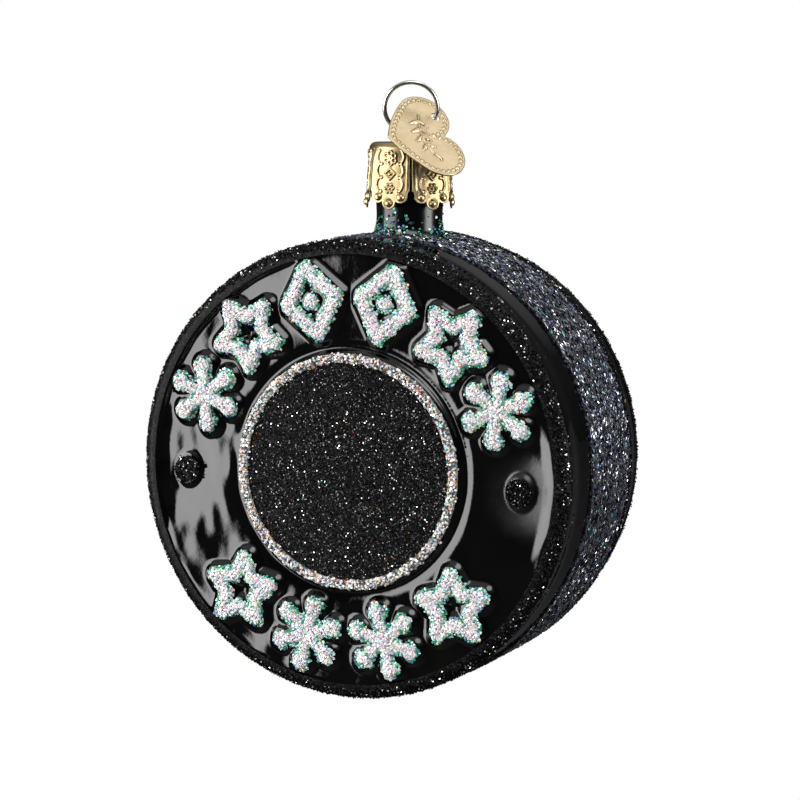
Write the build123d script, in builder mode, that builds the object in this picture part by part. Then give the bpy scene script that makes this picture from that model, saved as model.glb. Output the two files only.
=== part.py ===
from build123d import *
import math
import os

# ----------------------------------------------------------------------------
# Hanging glass ornament in the form of a thick puck: a hollow blown body with
# a neck, coats of glitter, a stamped crown cap, a sprung wire hanger and a
# heart tag threaded on the hanger's ring.
# Millimetres. +Z up, the decorated front faces -Y, +X to the viewer's right.
# Origin: the point inside the top of the ring, where the ornament hangs.
# ----------------------------------------------------------------------------

# hanger wire
wire_d = 0.70            # steel wire diameter
ring_r = 4.36            # ring radius at the wire's middle
ring_up = 5.94           # cap top to ring centre, along the leaning ring
ring_lean = 17.0         # forward lean of the ring, degrees
turn = 23.7              # turn of ring and cap about the neck axis, degrees
strand_x = 0.42          # half spacing of the two strands through the cap
shoulder_r = 1.2         # bend between ring and strands
knee_r = 1.6             # bend from the leaning ring to the upright strands
splay_r = 3.0            # bend at the top of the legs
splay = 18.0             # splay of the legs, degrees
leg_x = 3.95             # half spread of the leg ends

# crown cap
cap_r = 6.80             # outer radius under the shoulder
cap_t = 0.30             # sheet thickness
cap_shoulder = 1.10      # rounded top edge
cap_h = 10.9             # overall height
cap_foot_r = 7.45        # outer radius at the tab ends
cap_hole_r = 1.30        # hole for the two strands
tab_count = 6
slit_top, slit_foot = 0.50, 1.10   # width of the slits between the tabs
bead_r = 0.62            # round beads on the tab ends

# heart tag
tag_t = 0.30
tag_turn = 52.4          # heading of the tag's face, degrees from -Y
tag_tip = 42.0           # how far the face looks up, degrees
lobe_a, lobe_r = 3.90, 4.58        # lobe centres and radius
heart_c = 8.15           # point below the lobe centres
lobe_phi = -0.755        # where lobe and side arcs meet, radians
tag_hole_x, tag_hole_y = -4.10, 2.33
tag_hole_r = 0.82

# blown glass body
neck_off = 1.50          # neck stands this far right of the puck's middle
neck_h = 52.3            # puck centre to the neck's open end
neck_r, neck_wall = 5.60, 0.90
puck_r = 37.30           # side radius
front_y, back_y = -20.7, 18.5      # face planes, from the neck axis
front_rho, back_rho = 2.2, 4.0     # rim roundings
wall = 1.10              # glass thickness
relief = 0.80            # height of the moulded strokes
pad_r, pad_h = 19.5, 0.60          # raised round pad in the middle of a face
cap_gap = 0.05           # neck end to the underside of the cap

# glitter coats
coat = 0.35
disc_r = 17.6
ring_in, ring_out, ring_h = 17.7, 19.1, 0.65
band_half = 9.3          # half width of the side band
line_w = 1.5             # width of the line behind the side band
dot_x, dot_z, dot_r = 29.2, -1.6, 2.2
mark_r_front, mark_r_back = 28.0, 27.0   # radius of the two arcs of marks
upper_angles = [156.5, 129.9, 103.3, 76.7, 50.1, 23.5]
lower_angles = [-132.0, -104.0, -76.0, -48.0]
upper_kinds = ["flake", "star", "diamond", "diamond", "star", "flake"]
lower_kinds = ["star", "flake", "flake", "star"]
stroke = 2.20            # width of a glitter stroke
pad_stroke = 2.90        # width of the glass relief under it

# ---------------------------------------------------------------- placement
rad = math.radians
U = Vector(math.cos(rad(turn)), math.sin(rad(turn)), 0)          # along the ring
N = Vector(math.sin(rad(turn)), -math.cos(rad(turn)), 0)         # out of the ring
Z = Vector(0, 0, 1)
L = N * math.sin(rad(ring_lean)) + Z * math.cos(rad(ring_lean))  # up the ring
cap_top = L * -(ring_up + ring_r - wire_d / 2)                   # middle of the cap's hole
ring_mid = cap_top + L * ring_up
ax, ay, az = cap_top.X, cap_top.Y, cap_top.Z
cx, cy, cz = ax - neck_off, ay, az - cap_t - cap_gap - neck_h    # puck centre

# the profile plane: local x is the radius, local y runs towards the back (+Y)
profile = Plane(origin=(cx, cy, cz), x_dir=(1, 0, 0), z_dir=(0, 0, 1))
puck_axis = Axis((cx, cy, cz), (0, 1, 0))
neck_profile = Plane(origin=(ax, ay, cz), x_dir=(1, 0, 0), z_dir=(0, -1, 0))
neck_axis = Axis((ax, ay, cz), (0, 0, 1))


def face_plane(back, lift):
    """Sketch plane lift mm out of the front or back face, local y up."""
    if back:
        return Plane(origin=(cx, cy + back_y + lift, cz), x_dir=(-1, 0, 0), z_dir=(0, 1, 0))
    return Plane(origin=(cx, cy + front_y - lift, cz), x_dir=(1, 0, 0), z_dir=(0, -1, 0))


def bar(p, q, w):
    """One round-ended stroke from p to q."""
    mx, my = (p[0] + q[0]) / 2, (p[1] + q[1]) / 2
    ln = math.hypot(q[0] - p[0], q[1] - p[1])
    with Locations((mx, my)):
        SlotCenterToCenter(ln, w, rotation=math.degrees(math.atan2(q[1] - p[1], q[0] - p[0])))


def mark(kind, w):
    """A snow crystal, a star outline or a diamond outline, in strokes w wide."""
    if kind == "flake":
        for k in range(3):
            a = rad(90 + 60 * k)
            c, s = 4.9 * math.cos(a), 4.9 * math.sin(a)
            bar((-c, -s), (c, s), w * 0.84)
        with PolarLocations(4.7, 6, 90):
            Circle(w * 0.60)
    elif kind == "star":
        pts = []
        for k in range(10):
            a = rad(90 + 36 * k)
            r = 5.3 if k % 2 == 0 else 2.75
            pts.append((r * math.cos(a), r * math.sin(a)))
        for k in range(10):
            bar(pts[k], pts[(k + 1) % 10], w * 0.92)
    else:
        pts = [(0, 5.3), (-4.3, 0), (0, -5.3), (4.3, 0)]
        for k in range(4):
            bar(pts[k], pts[(k + 1) % 4], w * 0.94)
        Circle(w * 0.52)


def marks(angles, kinds, w, back):
    r = mark_r_back if back else mark_r_front
    for a, kind in zip(angles, kinds):
        spot = Location((r * math.cos(rad(a)), r * math.sin(rad(a)), 0), (0, 0, a - 90))
        with Locations(spot):
            mark(kind, w)


# ---------------------------------------------------------------- glass body
with BuildPart() as glass_body:
    # hollow puck: outer skin and inner skin in one closed profile
    with BuildSketch(profile):
        with BuildLine():
            fy, by, R = front_y, back_y, puck_r
            Line((0, fy), (R - front_rho, fy))
            RadiusArc((R - front_rho, fy), (R, fy + front_rho), -front_rho)
            Line((R, fy + front_rho), (R, by - back_rho))
            RadiusArc((R, by - back_rho), (R - back_rho, by), -back_rho)
            Line((R - back_rho, by), (0, by))
            Line((0, by), (0, fy))
        make_face()
    revolve(axis=puck_axis)
    # round pads in the middle of each face
    for back in (False, True):
        with BuildSketch(face_plane(back, 0)):
            Circle(pad_r)
        extrude(amount=pad_h)
    # moulded strokes under the marks
    for back in (False, True):
        with BuildSketch(face_plane(back, 0)):
            marks(upper_angles, upper_kinds, pad_stroke, back)
            marks(lower_angles, lower_kinds, pad_stroke, back)
        extrude(amount=relief)
    # neck, flared where it leaves the side
    with BuildSketch(neck_profile):
        with BuildLine():
            z0 = puck_r - 3.0
            zf = puck_r + 1.7
            Line((0, z0), (neck_r + 1.7, z0))
            Line((neck_r + 1.7, z0), (neck_r + 1.7, puck_r - 0.4))
            RadiusArc((neck_r + 1.7, puck_r - 0.4), (neck_r, zf), 2.0)
            Line((neck_r, zf), (neck_r, neck_h))
            Line((neck_r, neck_h), (0, neck_h))
            Line((0, neck_h), (0, z0))
        make_face()
    revolve(axis=neck_axis)
    # the hollow inside
    with BuildSketch(profile):
        with BuildLine():
            fy, by, R = front_y + wall, back_y - wall, puck_r - wall
            f, b = front_rho - wall, back_rho - wall
            Line((0, fy), (R - f, fy))
            RadiusArc((R - f, fy), (R, fy + f), -f)
            Line((R, fy + f), (R, by - b))
            RadiusArc((R, by - b), (R - b, by), -b)
            Line((R - b, by), (0, by))
            Line((0, by), (0, fy))
        make_face()
    revolve(axis=puck_axis, mode=Mode.SUBTRACT)
    # the neck's bore, open at the top
    with BuildSketch(Plane(origin=(ax, ay, cz + puck_r - 8))):
        Circle(neck_r - neck_wall)
    extrude(amount=neck_h - puck_r + 9, mode=Mode.SUBTRACT)
glass_body.part.label = "glass_body"

# ---------------------------------------------------------------- glitter coats
coats = {}
for side, back in (("front", False), ("back", True)):
    with BuildPart() as disc_glitter:
        with BuildSketch(face_plane(back, pad_h)):
            Circle(disc_r)
        extrude(amount=coat)
    disc_glitter.part.label = f"disc_glitter_{side}"
    coats[disc_glitter.part.label] = disc_glitter.part

    with BuildPart() as ring_glitter:
        with BuildSketch(face_plane(back, pad_h)):
            Circle(ring_out)
            Circle(ring_in, mode=Mode.SUBTRACT)
        extrude(amount=ring_h)
    ring_glitter.part.label = f"ring_glitter_{side}"
    coats[ring_glitter.part.label] = ring_glitter.part

    with BuildPart() as upper_marks:
        with BuildSketch(face_plane(back, relief)):
            marks(upper_angles, upper_kinds, stroke, back)
        extrude(amount=coat)
    upper_marks.part.label = f"upper_marks_{side}"
    coats[upper_marks.part.label] = upper_marks.part

    with BuildPart() as lower_marks:
        with BuildSketch(face_plane(back, relief)):
            marks(lower_angles, lower_kinds, stroke, back)
        extrude(amount=coat)
    lower_marks.part.label = f"lower_marks_{side}"
    coats[lower_marks.part.label] = lower_marks.part

    with BuildPart() as dot_glitter:
        with BuildSketch(face_plane(back, 0)):
            with Locations((-dot_x, dot_z), (dot_x, dot_z)):
                Circle(dot_r)
        extrude(amount=coat)
    dot_glitter.part.label = f"dot_glitter_{side}"
    coats[dot_glitter.part.label] = dot_glitter.part

    # line of glitter laid over the rim's rounding
    with BuildPart() as rim_glitter:
        with BuildSketch(profile):
            with BuildLine():
                sgn = 1 if back else -1
                rho = back_rho if back else front_rho
                sweep_from, sweep_to = (14, 48) if back else (0, 66)
                mx = puck_r - rho
                my = (back_y - rho) if back else (front_y + rho)

                def at(r, deg):
                    return (mx + r * math.sin(rad(deg)), my + sgn * r * math.cos(rad(deg)))

                middle = (sweep_from + sweep_to) / 2
                ThreePointArc(at(rho, sweep_from), at(rho, middle), at(rho, sweep_to))
                Line(at(rho, sweep_to), at(rho + coat, sweep_to))
                ThreePointArc(at(rho + coat, sweep_to), at(rho + coat, middle), at(rho + coat, sweep_from))
                Line(at(rho + coat, sweep_from), at(rho, sweep_from))
            make_face()
        revolve(axis=puck_axis)
    rim_glitter.part.label = f"rim_glitter_{side}"
    coats[rim_glitter.part.label] = rim_glitter.part

# broad band round the side, open where the neck stands
with BuildPart() as side_glitter:
    with BuildSketch(profile):
        with Locations((puck_r + coat / 2, 0)):
            Rectangle(coat, 2 * band_half)
    revolve(axis=puck_axis)
    with BuildSketch(Plane(origin=(ax, ay, cz + puck_r - 4))):
        Circle(neck_r + 1.9)
    extrude(amount=8, mode=Mode.SUBTRACT)
side_glitter.part.label = "side_glitter"
coats["side_glitter"] = side_glitter.part

# dark line behind the side band
with BuildPart() as side_line_glitter:
    with BuildSketch(profile):
        with Locations((puck_r + coat / 2, band_half + line_w / 2)):
            Rectangle(coat, line_w)
    revolve(axis=puck_axis)
side_line_glitter.part.label = "side_line_glitter"
coats["side_line_glitter"] = side_line_glitter.part

# sparse coat of flakes round the foot of the neck
with BuildPart() as neck_glitter:
    with BuildSketch(Plane(origin=(ax, ay, cz + puck_r + 2.0))):
        Circle(neck_r + 0.15)
        Circle(neck_r, mode=Mode.SUBTRACT)
    extrude(amount=2.4)
neck_glitter.part.label = "neck_glitter"
coats["neck_glitter"] = neck_glitter.part

# ---------------------------------------------------------------- crown cap
with BuildPart() as cap_shell:
    with BuildSketch(Plane(origin=(ax, ay, az), x_dir=U, z_dir=N)):
        with BuildLine():
            ri, si = cap_r - cap_t, cap_shoulder - cap_t
            Line((cap_hole_r, 0), (cap_r - cap_shoulder, 0))
            RadiusArc((cap_r - cap_shoulder, 0), (cap_r, -cap_shoulder), cap_shoulder)
            Line((cap_r, -cap_shoulder), (cap_foot_r, -cap_h))
            Line((cap_foot_r, -cap_h), (cap_foot_r - cap_t, -cap_h))
            Line((cap_foot_r - cap_t, -cap_h), (ri, -cap_shoulder))
            RadiusArc((ri, -cap_shoulder), (ri - si, -cap_t), -si)
            Line((ri - si, -cap_t), (cap_hole_r, -cap_t))
            Line((cap_hole_r, -cap_t), (cap_hole_r, 0))
        make_face()
    revolve(axis=Axis((ax, ay, az), (0, 0, 1)))
    pitch = 360 / tab_count
    for k in range(tab_count):
        # slit between two tabs, wider at the foot; the first faces along N
        a = rad(turn - 90 + pitch * k)
        out = Vector(math.cos(a), math.sin(a), 0)
        side = Vector(-math.sin(a), math.cos(a), 0)
        with BuildSketch(Plane(origin=Vector(ax, ay, az), x_dir=side, z_dir=out)):
            with BuildLine():
                Polyline(
                    (-slit_top / 2, -cap_shoulder),
                    (-slit_foot / 2, -cap_h - 1),
                    (slit_foot / 2, -cap_h - 1),
                    (slit_top / 2, -cap_shoulder),
                    close=True,
                )
            make_face()
        extrude(amount=cap_foot_r + 2, mode=Mode.SUBTRACT)
        # scalloped tab end: corners cut away round the three beads
        b = a + rad(pitch / 2)
        out = Vector(math.cos(b), math.sin(b), 0)
        side = Vector(-math.sin(b), math.cos(b), 0)
        with BuildSketch(Plane(origin=Vector(ax, ay, az), x_dir=side, z_dir=out)):
            with Locations((0, -cap_h)):
                Rectangle(9, 3.4)
            with Locations((-1.9, -cap_h + 1.85), (1.9, -cap_h + 1.85)):
                Circle(1.15, mode=Mode.SUBTRACT)
            with Locations((0, -cap_h + 1.25)):
                Circle(1.25, mode=Mode.SUBTRACT)
        extrude(amount=cap_foot_r + 2, mode=Mode.SUBTRACT)
    # beads struck out of the tab ends
    for k in range(tab_count):
        b = rad(turn - 90 + pitch * (k + 0.5))
        for dx, dz in ((-1.85, 2.0), (1.85, 2.0), (0, 0.98)):
            rr = cap_foot_r - 0.12 - (cap_foot_r - cap_r) * dz / cap_h
            q = b + dx / rr
            with Locations((ax + rr * math.cos(q), ay + rr * math.sin(q), az - cap_h + dz)):
                Sphere(bead_r)
cap_shell.part.label = "cap_shell"

# ---------------------------------------------------------------- hanger wire
# loop points in the leaning plane (u along U, v along L from the cap's top)
rb = shoulder_r
bx = strand_x + rb
bv = ring_up - math.sqrt((ring_r + rb) ** 2 - bx ** 2)     # height of the shoulder bends' centres
tk = ring_r / (ring_r + rb)
tx, tv = bx * tk, ring_up + (bv - ring_up) * tk            # where bend meets ring


def lean_pt(u, v):
    return cap_top + U * u + L * v


def bend_mid(sx):
    """Middle of the shoulder bend."""
    a0 = math.pi
    a1 = math.atan2(ring_up - bv, -bx)
    am = (a0 + a1) / 2
    return (sx * (bx + rb * math.cos(am)), bv + rb * math.sin(am))


# the knee turns the strands from the lean to upright just under the cap's top
kn = knee_r * math.tan(rad(ring_lean) / 2)
knee_v = -0.30                                             # where the two lines would cross, along L
knee = cap_top + L * knee_v
k_in = knee + L * kn
k_out = knee - Z * kn
bis = (k_in - knee) + (k_out - knee)
k_mid = knee + bis.normalized() * (knee_r / math.cos(rad(ring_lean) / 2) - knee_r)
knee_off = Vector(knee.X - ax, knee.Y - ay, 0)             # small forward offset of the strands
leg_top = az - 1.9                                         # where the splay bend begins


def leg_points(sx):
    s = rad(splay)
    x0 = strand_x
    x1 = x0 + splay_r * (1 - math.cos(s))
    z1 = leg_top - splay_r * math.sin(s)
    xm = x0 + splay_r * (1 - math.cos(s / 2))
    zm = leg_top - splay_r * math.sin(s / 2)
    x2 = leg_x
    z2 = z1 - (x2 - x1) / math.tan(s)

    def p(x, z):
        return Vector(ax, ay, z) + knee_off + U * (sx * x)

    return p(x0, leg_top), p(xm, zm), p(x1, z1), p(x2, z2)


with BuildPart() as hanger_wire:
    with BuildLine() as wire_path:
        p0, pm, p1, p2 = leg_points(-1)
        q0, qm, q1, q2 = leg_points(1)
        Line(p2, p1)
        ThreePointArc(p1, pm, p0)
        Line(p0, k_out - U * strand_x)
        ThreePointArc(k_out - U * strand_x, k_mid - U * strand_x, k_in - U * strand_x)
        Line(k_in - U * strand_x, lean_pt(-strand_x, bv))
        ThreePointArc(lean_pt(-strand_x, bv), lean_pt(*bend_mid(-1)), lean_pt(-tx, tv))
        ThreePointArc(lean_pt(-tx, tv), lean_pt(0, ring_up + ring_r), lean_pt(tx, tv))
        ThreePointArc(lean_pt(tx, tv), lean_pt(*bend_mid(1)), lean_pt(strand_x, bv))
        Line(lean_pt(strand_x, bv), k_in + U * strand_x)
        ThreePointArc(k_in + U * strand_x, k_mid + U * strand_x, k_out + U * strand_x)
        Line(k_out + U * strand_x, q0)
        ThreePointArc(q0, qm, q1)
        Line(q1, q2)
    start = wire_path.wires()[0]
    with BuildSketch(Plane(origin=start @ 0, z_dir=start % 0)):
        Circle(wire_d / 2)
    sweep(path=wire_path.wires()[0])
hanger_wire.part.label = "hanger_wire"
wire_len = wire_path.wires()[0].length
print("wire length %.2f, volume %.3f, section x length %.3f" % (
    wire_len, hanger_wire.part.volume, math.pi * (wire_d / 2) ** 2 * wire_len))

# ---------------------------------------------------------------- heart tag
# the hole rides on the ring's right side
hole_ang = rad(-22.5)
hole_at = ring_mid + U * (ring_r * math.cos(hole_ang)) + L * (ring_r * math.sin(hole_ang))
heading = Vector(math.sin(rad(tag_turn)), -math.cos(rad(tag_turn)), 0)
n_tag = heading * math.cos(rad(tag_tip)) + Z * math.sin(rad(tag_tip))
x_tag = heading * math.sin(rad(tag_tip)) - Z * math.cos(rad(tag_tip))   # down the tag's face
y_tag = Vector(math.cos(rad(tag_turn)), math.sin(rad(tag_turn)), 0)     # level, towards the lobes
tag_origin = hole_at - x_tag * tag_hole_x - y_tag * tag_hole_y

notch_y = math.sqrt(lobe_r ** 2 - lobe_a ** 2)
d_phi = (math.cos(lobe_phi), math.sin(lobe_phi))
tan_pt = (lobe_a + lobe_r * d_phi[0], lobe_r * d_phi[1])
w_x, w_y = tan_pt[0], tan_pt[1] + heart_c
side_r = (w_x ** 2 + w_y ** 2) / (2 * (w_x * d_phi[0] + w_y * d_phi[1]))
side_c = (tan_pt[0] - side_r * d_phi[0], tan_pt[1] - side_r * d_phi[1])
a_end = math.atan2(-heart_c - side_c[1], -side_c[0])
a_mid = (lobe_phi + a_end) / 2
side_mid = (side_c[0] + side_r * math.cos(a_mid), side_c[1] + side_r * math.sin(a_mid))
t_notch = math.atan2(notch_y, -lobe_a)
t_mid = (t_notch + lobe_phi) / 2
lobe_mid = (lobe_a + lobe_r * math.cos(t_mid), lobe_r * math.sin(t_mid))

with BuildPart() as tag:
    with BuildSketch(Plane(origin=tag_origin - n_tag * (tag_t / 2), x_dir=x_tag, z_dir=n_tag)):
        with BuildLine():
            ThreePointArc((0, notch_y), lobe_mid, tan_pt)
            ThreePointArc(tan_pt, side_mid, (0, -heart_c))
            ThreePointArc((0, -heart_c), (-side_mid[0], side_mid[1]), (-tan_pt[0], tan_pt[1]))
            ThreePointArc((-tan_pt[0], tan_pt[1]), (-lobe_mid[0], lobe_mid[1]), (0, notch_y))
        make_face()
        with Locations((tag_hole_x, tag_hole_y)):
            Circle(tag_hole_r, mode=Mode.SUBTRACT)
    extrude(amount=tag_t)
tag.part.label = "tag"

# ---------------------------------------------------------------- files
os.makedirs("parts", exist_ok=True)
export_step(glass_body.part, "parts/glass_body.step")
for label, solid in coats.items():
    export_step(solid, f"parts/{label}.step")
export_step(cap_shell.part, "parts/cap_shell.step")
export_step(hanger_wire.part, "parts/hanger_wire.step")
export_step(tag.part, "parts/tag.step")
print("cap_top", tuple(round(v, 4) for v in cap_top), "puck centre", round(cx, 4), round(cy, 4), round(cz, 4))
print("tag hole", tuple(round(v, 4) for v in hole_at), "tag axis", tuple(round(-v, 5) for v in y_tag))
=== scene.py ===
import math

import bpy
import numpy as np
from mathutils import Matrix, Vector, geometry


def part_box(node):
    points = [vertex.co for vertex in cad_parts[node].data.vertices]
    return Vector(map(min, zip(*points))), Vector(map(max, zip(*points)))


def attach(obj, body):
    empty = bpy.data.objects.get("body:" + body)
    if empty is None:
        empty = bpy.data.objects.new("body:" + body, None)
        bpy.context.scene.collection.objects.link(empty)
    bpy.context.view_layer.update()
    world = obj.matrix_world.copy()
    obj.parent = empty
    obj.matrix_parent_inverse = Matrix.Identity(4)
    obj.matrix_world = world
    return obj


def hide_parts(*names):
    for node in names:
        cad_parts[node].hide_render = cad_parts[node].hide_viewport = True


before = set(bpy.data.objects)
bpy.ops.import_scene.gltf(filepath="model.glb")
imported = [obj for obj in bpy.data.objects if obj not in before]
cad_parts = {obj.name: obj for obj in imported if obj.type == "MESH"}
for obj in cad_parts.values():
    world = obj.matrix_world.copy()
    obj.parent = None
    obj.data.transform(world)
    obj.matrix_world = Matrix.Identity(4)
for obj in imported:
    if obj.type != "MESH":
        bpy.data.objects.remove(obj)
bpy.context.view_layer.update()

MM = 0.001
rad = math.radians


def span(node):
    lo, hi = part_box(node)
    return np.array(lo) * 1000.0, np.array(hi) * 1000.0


# ------------------------------------------------------------------ places, in mm
_lo, _hi = span("side_glitter")
CX, CZ = (_lo[0] + _hi[0]) / 2, (_lo[2] + _hi[2]) / 2
_lo, _hi = span("neck_glitter")
AX, CY = (_lo[0] + _hi[0]) / 2, (_lo[1] + _hi[1]) / 2
CAP_Z = span("cap_shell")[1][2]
PUCK_R, FRONT_Y, BACK_Y = 37.30, -20.7, 18.5
F_RHO, B_RHO = 2.2, 4.0
NECK_R, NECK_TOP = 5.60, CAP_Z - 0.35
PAD_R, PAD_H, COAT = 19.5, 0.60, 0.35
TURN, LEAN = 23.7, 17.0
MARK_R = {0: 28.0, 1: 27.0}
UPPER = [(156.5, "flake"), (129.9, "star"), (103.3, "diamond"), (76.7, "diamond"), (50.1, "star"), (23.5, "flake")]
LOWER = [(-132.0, "star"), (-104.0, "flake"), (-76.0, "flake"), (-48.0, "star")]
STROKE = 2.20


# ------------------------------------------------------------------ mesh helpers
def new_mesh(name, verts, faces, mats, mat_index=None, smooth=True):
    """verts in mm, faces a list of index tuples or an (n, k) array."""
    me = bpy.data.meshes.new(name)
    verts = np.asarray(verts, float) * MM
    if isinstance(faces, np.ndarray):
        n, k = faces.shape
        me.vertices.add(len(verts))
        me.vertices.foreach_set("co", verts.astype(np.float32).ravel())
        me.loops.add(n * k)
        me.loops.foreach_set("vertex_index", faces.astype(np.int32).ravel())
        me.polygons.add(n)
        me.polygons.foreach_set("loop_start", np.arange(0, n * k, k, dtype=np.int32))
        me.polygons.foreach_set("loop_total", np.full(n, k, np.int32))
        me.update(calc_edges=True)
    else:
        me.from_pydata([tuple(v) for v in verts], [], faces)
    for m in mats:
        me.materials.append(m)
    if mat_index is not None:
        me.polygons.foreach_set("material_index", np.asarray(mat_index, np.int32))
    me.polygons.foreach_set("use_smooth", np.full(len(me.polygons), bool(smooth)))
    me.validate(verbose=False)
    me.update()
    ob = bpy.data.objects.new(name, me)
    bpy.context.scene.collection.objects.link(ob)
    return ob


def smoothstep(a, b, x):
    t = np.clip((x - a) / (b - a), 0, 1)
    return t * t * (3 - 2 * t)


def waves(seed, n, lo, hi):
    """A smooth random height field of unit rms, as plane waves lo to hi mm long."""
    g = np.random.default_rng(seed)
    lam = g.uniform(lo, hi, n)
    ang = g.uniform(0, 2 * np.pi, n)
    ph = g.uniform(0, 2 * np.pi, n)
    kx, kz = 2 * np.pi / lam * np.cos(ang), 2 * np.pi / lam * np.sin(ang)
    amp = math.sqrt(2.0 / n)

    def f(x, z):
        out = np.zeros(np.shape(x))
        for i in range(n):
            out = out + np.sin(kx[i] * x + kz[i] * z + ph[i])
        return out * amp

    return f


# ------------------------------------------------------------------ the marks' strokes
def mark_strokes(kind):
    """Segments (x0, z0, x1, z1, half width) of one mark about its own centre."""
    out = []
    if kind == "flake":
        for k in range(3):
            a = rad(90 + 60 * k)
            c, s = 4.9 * math.cos(a), 4.9 * math.sin(a)
            out.append((-c, -s, c, s, STROKE * 0.42))
        for k in range(6):
            a = rad(90 + 60 * k)
            c, s = 4.7 * math.cos(a), 4.7 * math.sin(a)
            out.append((c, s, c + 1e-6, s, STROKE * 0.60))
    elif kind == "star":
        p = []
        for k in range(10):
            a = rad(90 + 36 * k)
            r = 5.3 if k % 2 == 0 else 2.75
            p.append((r * math.cos(a), r * math.sin(a)))
        for k in range(10):
            out.append((*p[k], *p[(k + 1) % 10], STROKE * 0.46))
    else:
        p = [(0, 5.3), (-4.3, 0), (0, -5.3), (4.3, 0)]
        for k in range(4):
            out.append((*p[k], *p[(k + 1) % 4], STROKE * 0.47))
        out.append((0, 0, 1e-6, 0, STROKE * 0.52))
    return out


def placed(marks, r):
    segs = []
    for ang, kind in marks:
        a = rad(ang)
        t = rad(ang - 90)
        ct, st = math.cos(t), math.sin(t)
        ox, oz = r * math.cos(a), r * math.sin(a)
        for x0, z0, x1, z1, w in mark_strokes(kind):
            segs.append((ox + x0 * ct - z0 * st, oz + x0 * st + z0 * ct, ox + x1 * ct - z1 * st, oz + x1 * st + z1 * ct, w))
    return np.array(segs)


SEGS = {(b, n): placed(m, MARK_R[b]) for b in (0, 1) for n, m in (("upper", UPPER), ("lower", LOWER))}


def edge_distance(x, z, segs):
    """Distance to the edge of the strokes, negative inside, and the way out of them."""
    best = np.full(np.shape(x), 1e9)
    gx, gz = np.zeros(np.shape(x)), np.zeros(np.shape(x))
    for x0, z0, x1, z1, w in segs:
        dx, dz = x1 - x0, z1 - z0
        L2 = dx * dx + dz * dz
        t = np.clip(((x - x0) * dx + (z - z0) * dz) / L2, 0, 1)
        qx, qz = x - (x0 + t * dx), z - (z0 + t * dz)
        d = np.hypot(qx, qz)
        e = d - w
        m = e < best
        best = np.where(m, e, best)
        dd = np.maximum(d, 1e-6)
        gx, gz = np.where(m, qx / dd, gx), np.where(m, qz / dd, gz)
    return best, gx, gz


# ------------------------------------------------------------------ the blown face
W_SLOW = {0: waves(11, 9, 16, 30), 1: waves(21, 9, 16, 30)}
W_FAST = {0: waves(12, 16, 5.5, 11), 1: waves(22, 16, 5.5, 11)}
W_FINE = {0: waves(13, 18, 2.6, 5.0), 1: waves(23, 18, 2.6, 5.0)}


def face_height(x, z, back):
    """Height of the glass over the flat face plane, in mm. x runs to the right of a viewer of that face."""
    r = np.hypot(x, z)
    th = np.arctan2(z, x)
    segs = np.vstack([SEGS[(back, "upper")], SEGS[(back, "lower")]])
    e, _, _ = edge_distance(x, z, segs)
    free = smoothstep(19.8, 21.6, r)
    top = 1.0 - smoothstep(0.05, 0.9, e)
    # moulded strokes with a soft skirt that runs out over the face
    h = 0.86 * (1.0 - smoothstep(0.10, 1.55, e)) + 0.10 * np.exp(-np.maximum(e, 0) / 0.9) * (1 - top)
    h = h * free
    # ripples of the blown skin, stronger on the open glass than on the strokes
    calm = free * (1 - 0.85 * top)
    live = 0.24 + 0.96 * (1 - smoothstep(-24, 2, x + 0.30 * z)) * (0.40 + 0.60 * smoothstep(-19, -5, z))
    h = h + calm * live * (0.080 * W_SLOW[back](x, z) + 0.058 * W_FAST[back](x, z) + 0.0150 * W_FINE[back](x, z))
    # wrinkles that run out from between the marks to the rim
    h = h + calm * live * 0.045 * np.cos(th * 21 + 1.3 * np.sin(th * 4)) * smoothstep(23, 34, r)
    # left half sags a little to the left, right half lies nearly flat
    q = np.maximum(-x + 0.58 * z - 19.3, 0)
    h = h - free * 0.052 * (np.sqrt(q * q + 9.0) - 3.0)
    # raised middle pad and the step down from it
    h = np.maximum(h, 0) * 1.0 + np.minimum(h, 0)
    foot = 19.85 + 0.25 * smoothstep(-0.2, 0.9, np.cos(th))
    h = h * smoothstep(19.1, 21.0, r) + PAD_H * (1 - smoothstep(19.25, foot, r))
    h = h - 0.27 * np.exp(-(((r - 20.15) / 0.95) ** 2))
    # soft hollows round the two dots
    for sx in (-29.2, 29.2):
        d = np.hypot(x - sx, (z + 1.6) * 0.8)
        out = 1 - smoothstep(33.0, 35.1, r)
        h = h - (0.92 if sx > 0 else 0.60) * out * np.exp(-((d / 6.0) ** 2)) + (0.84 if sx > 0 else 0.54) * np.exp(-((d / 2.35) ** 10))
    # low lip inside the rim
    lip = np.clip((live - 0.30) / 0.90, 0, 1)
    h = h + lip * (0.05 * np.exp(-(((r - 34.4) / 0.8) ** 2)) - 0.02 * np.exp(-(((r - 32.3) / 1.5) ** 2)) * (1 - top))
    edge = 35.1 if not back else 33.3
    return h * (1 - smoothstep(edge - 0.6, edge + 0.1, r))


def side_radius(y, th):
    """Radius of the glass side at depth y."""
    d = -0.34 * np.exp(-(((y + 14.2) / 2.6) ** 2)) + 0.10 * np.exp(-(((y + 10.0) / 0.45) ** 2))
    d = d - 0.55 * smoothstep(10.8, 15.5, y)
    d = d + 0.05 * np.sin(th * 5 + 0.7) * smoothstep(-9.5, -14, y) + 0.05 * np.sin(th * 7 + 2.0) * smoothstep(11, 14, y)
    return d - 0.03


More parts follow.
